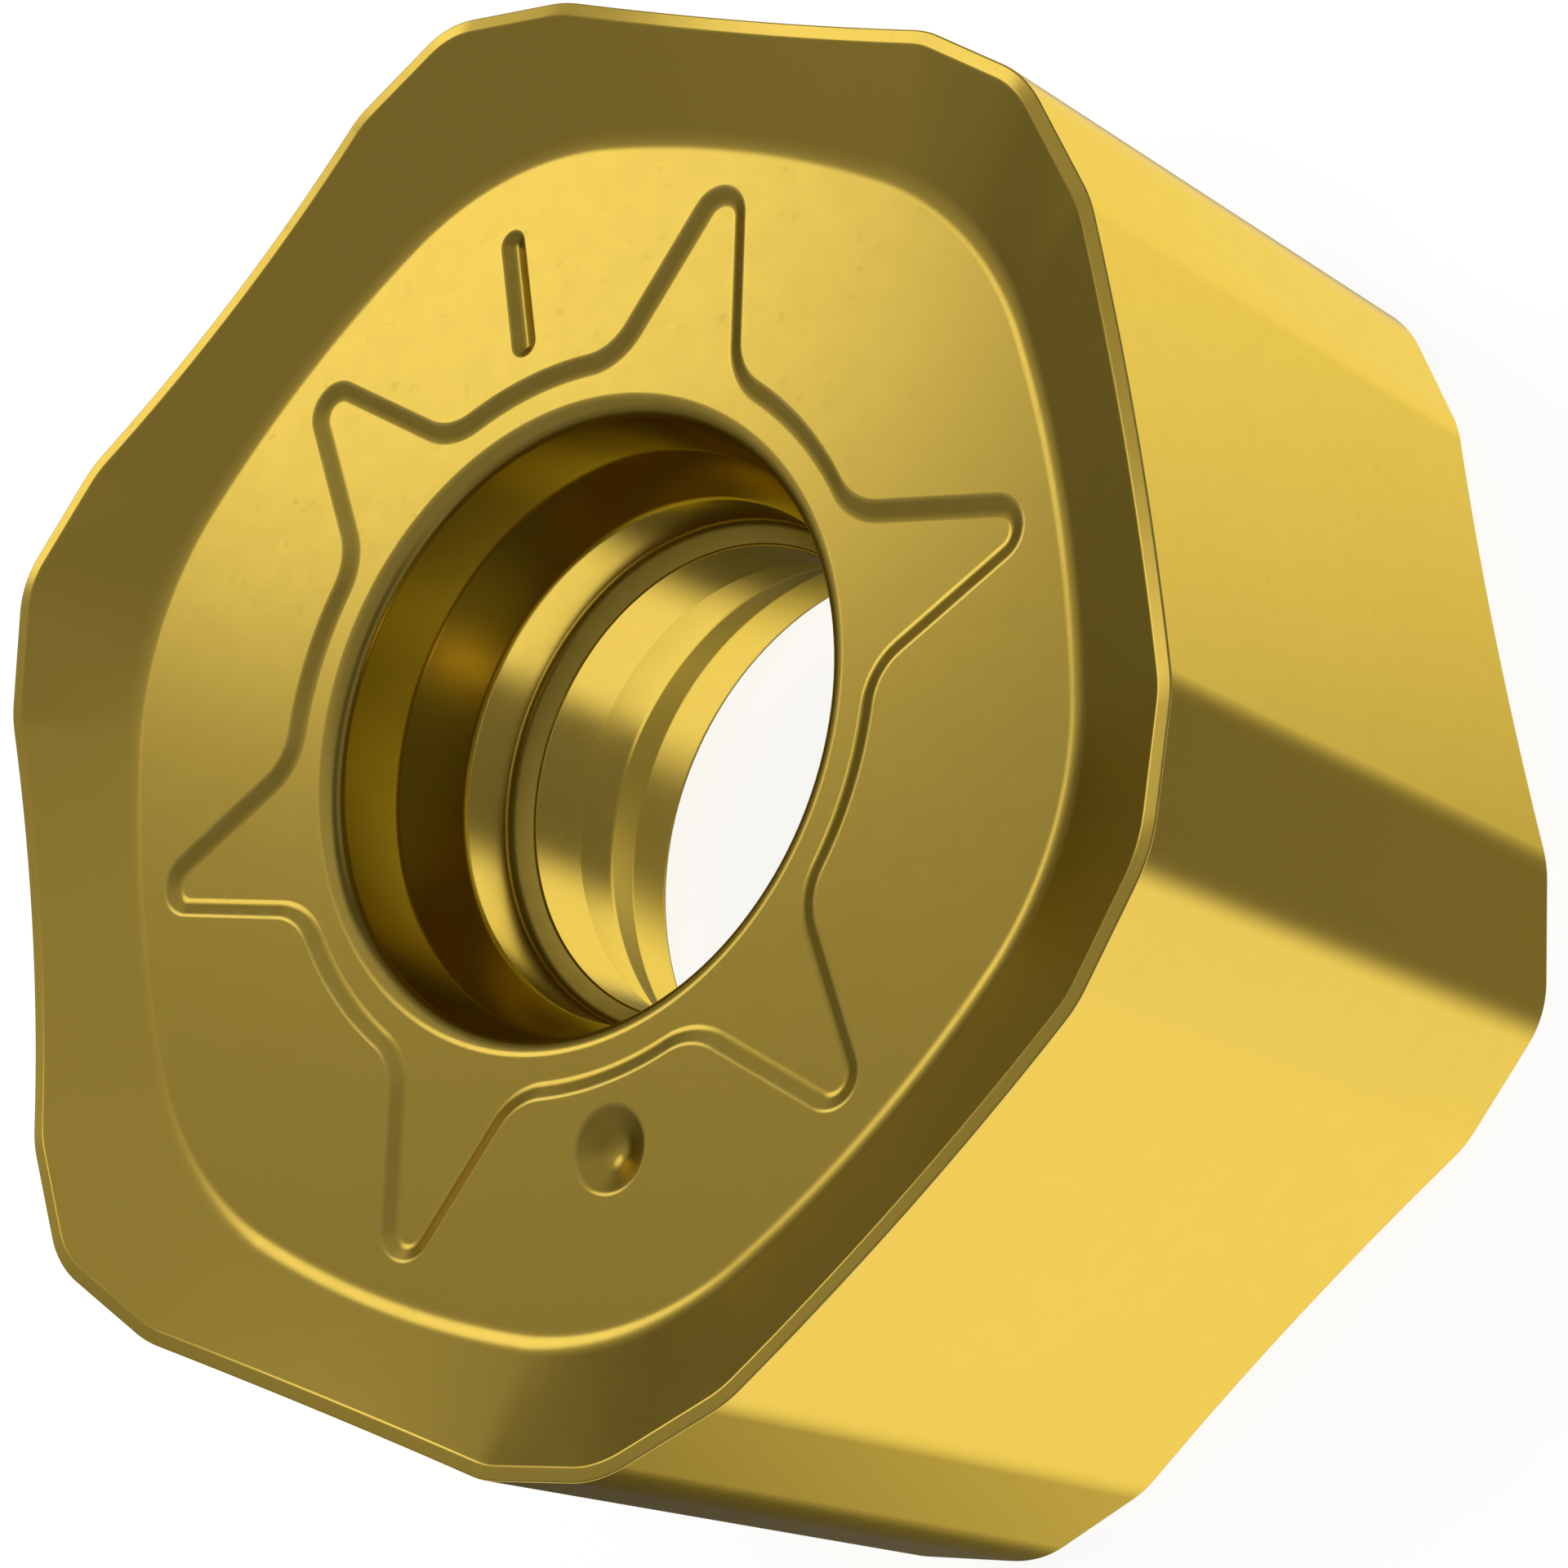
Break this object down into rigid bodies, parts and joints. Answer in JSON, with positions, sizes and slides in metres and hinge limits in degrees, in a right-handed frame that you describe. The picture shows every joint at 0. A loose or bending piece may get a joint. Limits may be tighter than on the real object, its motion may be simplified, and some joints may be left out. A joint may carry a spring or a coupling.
{
  "type": "carbide insert",
  "caption": "Double-sided hexagonal carbide milling insert with bevelled corners, raised cutting edges, sloping rake faces and a stepped screw hole through the middle.",
  "frame": {"origin": "under the middle of the insert, on the surface that its lower corner tips rest on", "axes": "+Z along the screw hole, +X towards the middle of a long cutting edge, +Y towards a corner"},
  "size_m": [0.0158, 0.0172, 0.0079],
  "materials": {
    "coated_carbide": "smooth satin, gold-coloured nitride coating on cemented carbide"
  },
  "bodies": {
    "root": {"insert": "coated_carbide"}
  },
  "joints": []
}
